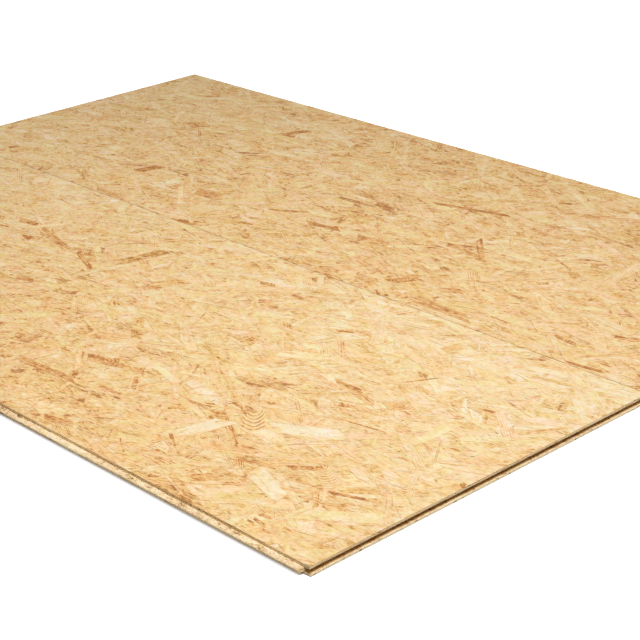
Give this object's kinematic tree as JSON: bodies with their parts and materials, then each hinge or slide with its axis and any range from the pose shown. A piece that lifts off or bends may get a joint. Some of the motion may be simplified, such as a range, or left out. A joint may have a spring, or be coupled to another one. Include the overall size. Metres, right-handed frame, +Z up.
{
  "type": "tongue-and-groove osb floor panels",
  "caption": "Oriented strand board floor panels with tongue and groove on all sides, laid side by side and joined along their long edges.",
  "frame": {"origin": "middle of the underside of the joined pair, tongues included", "axes": "+X across the panels, towards the open long groove; +Y along the panels, towards the end tongues; +Z up"},
  "size_m": [1.3602, 1.85, 0.015],
  "materials": {
    "osb": "pressed wood strands, unsanded, satin"
  },
  "bodies": {
    "root": {"osb_panel_front": "osb", "osb_panel_back": "osb"}
  },
  "joints": []
}
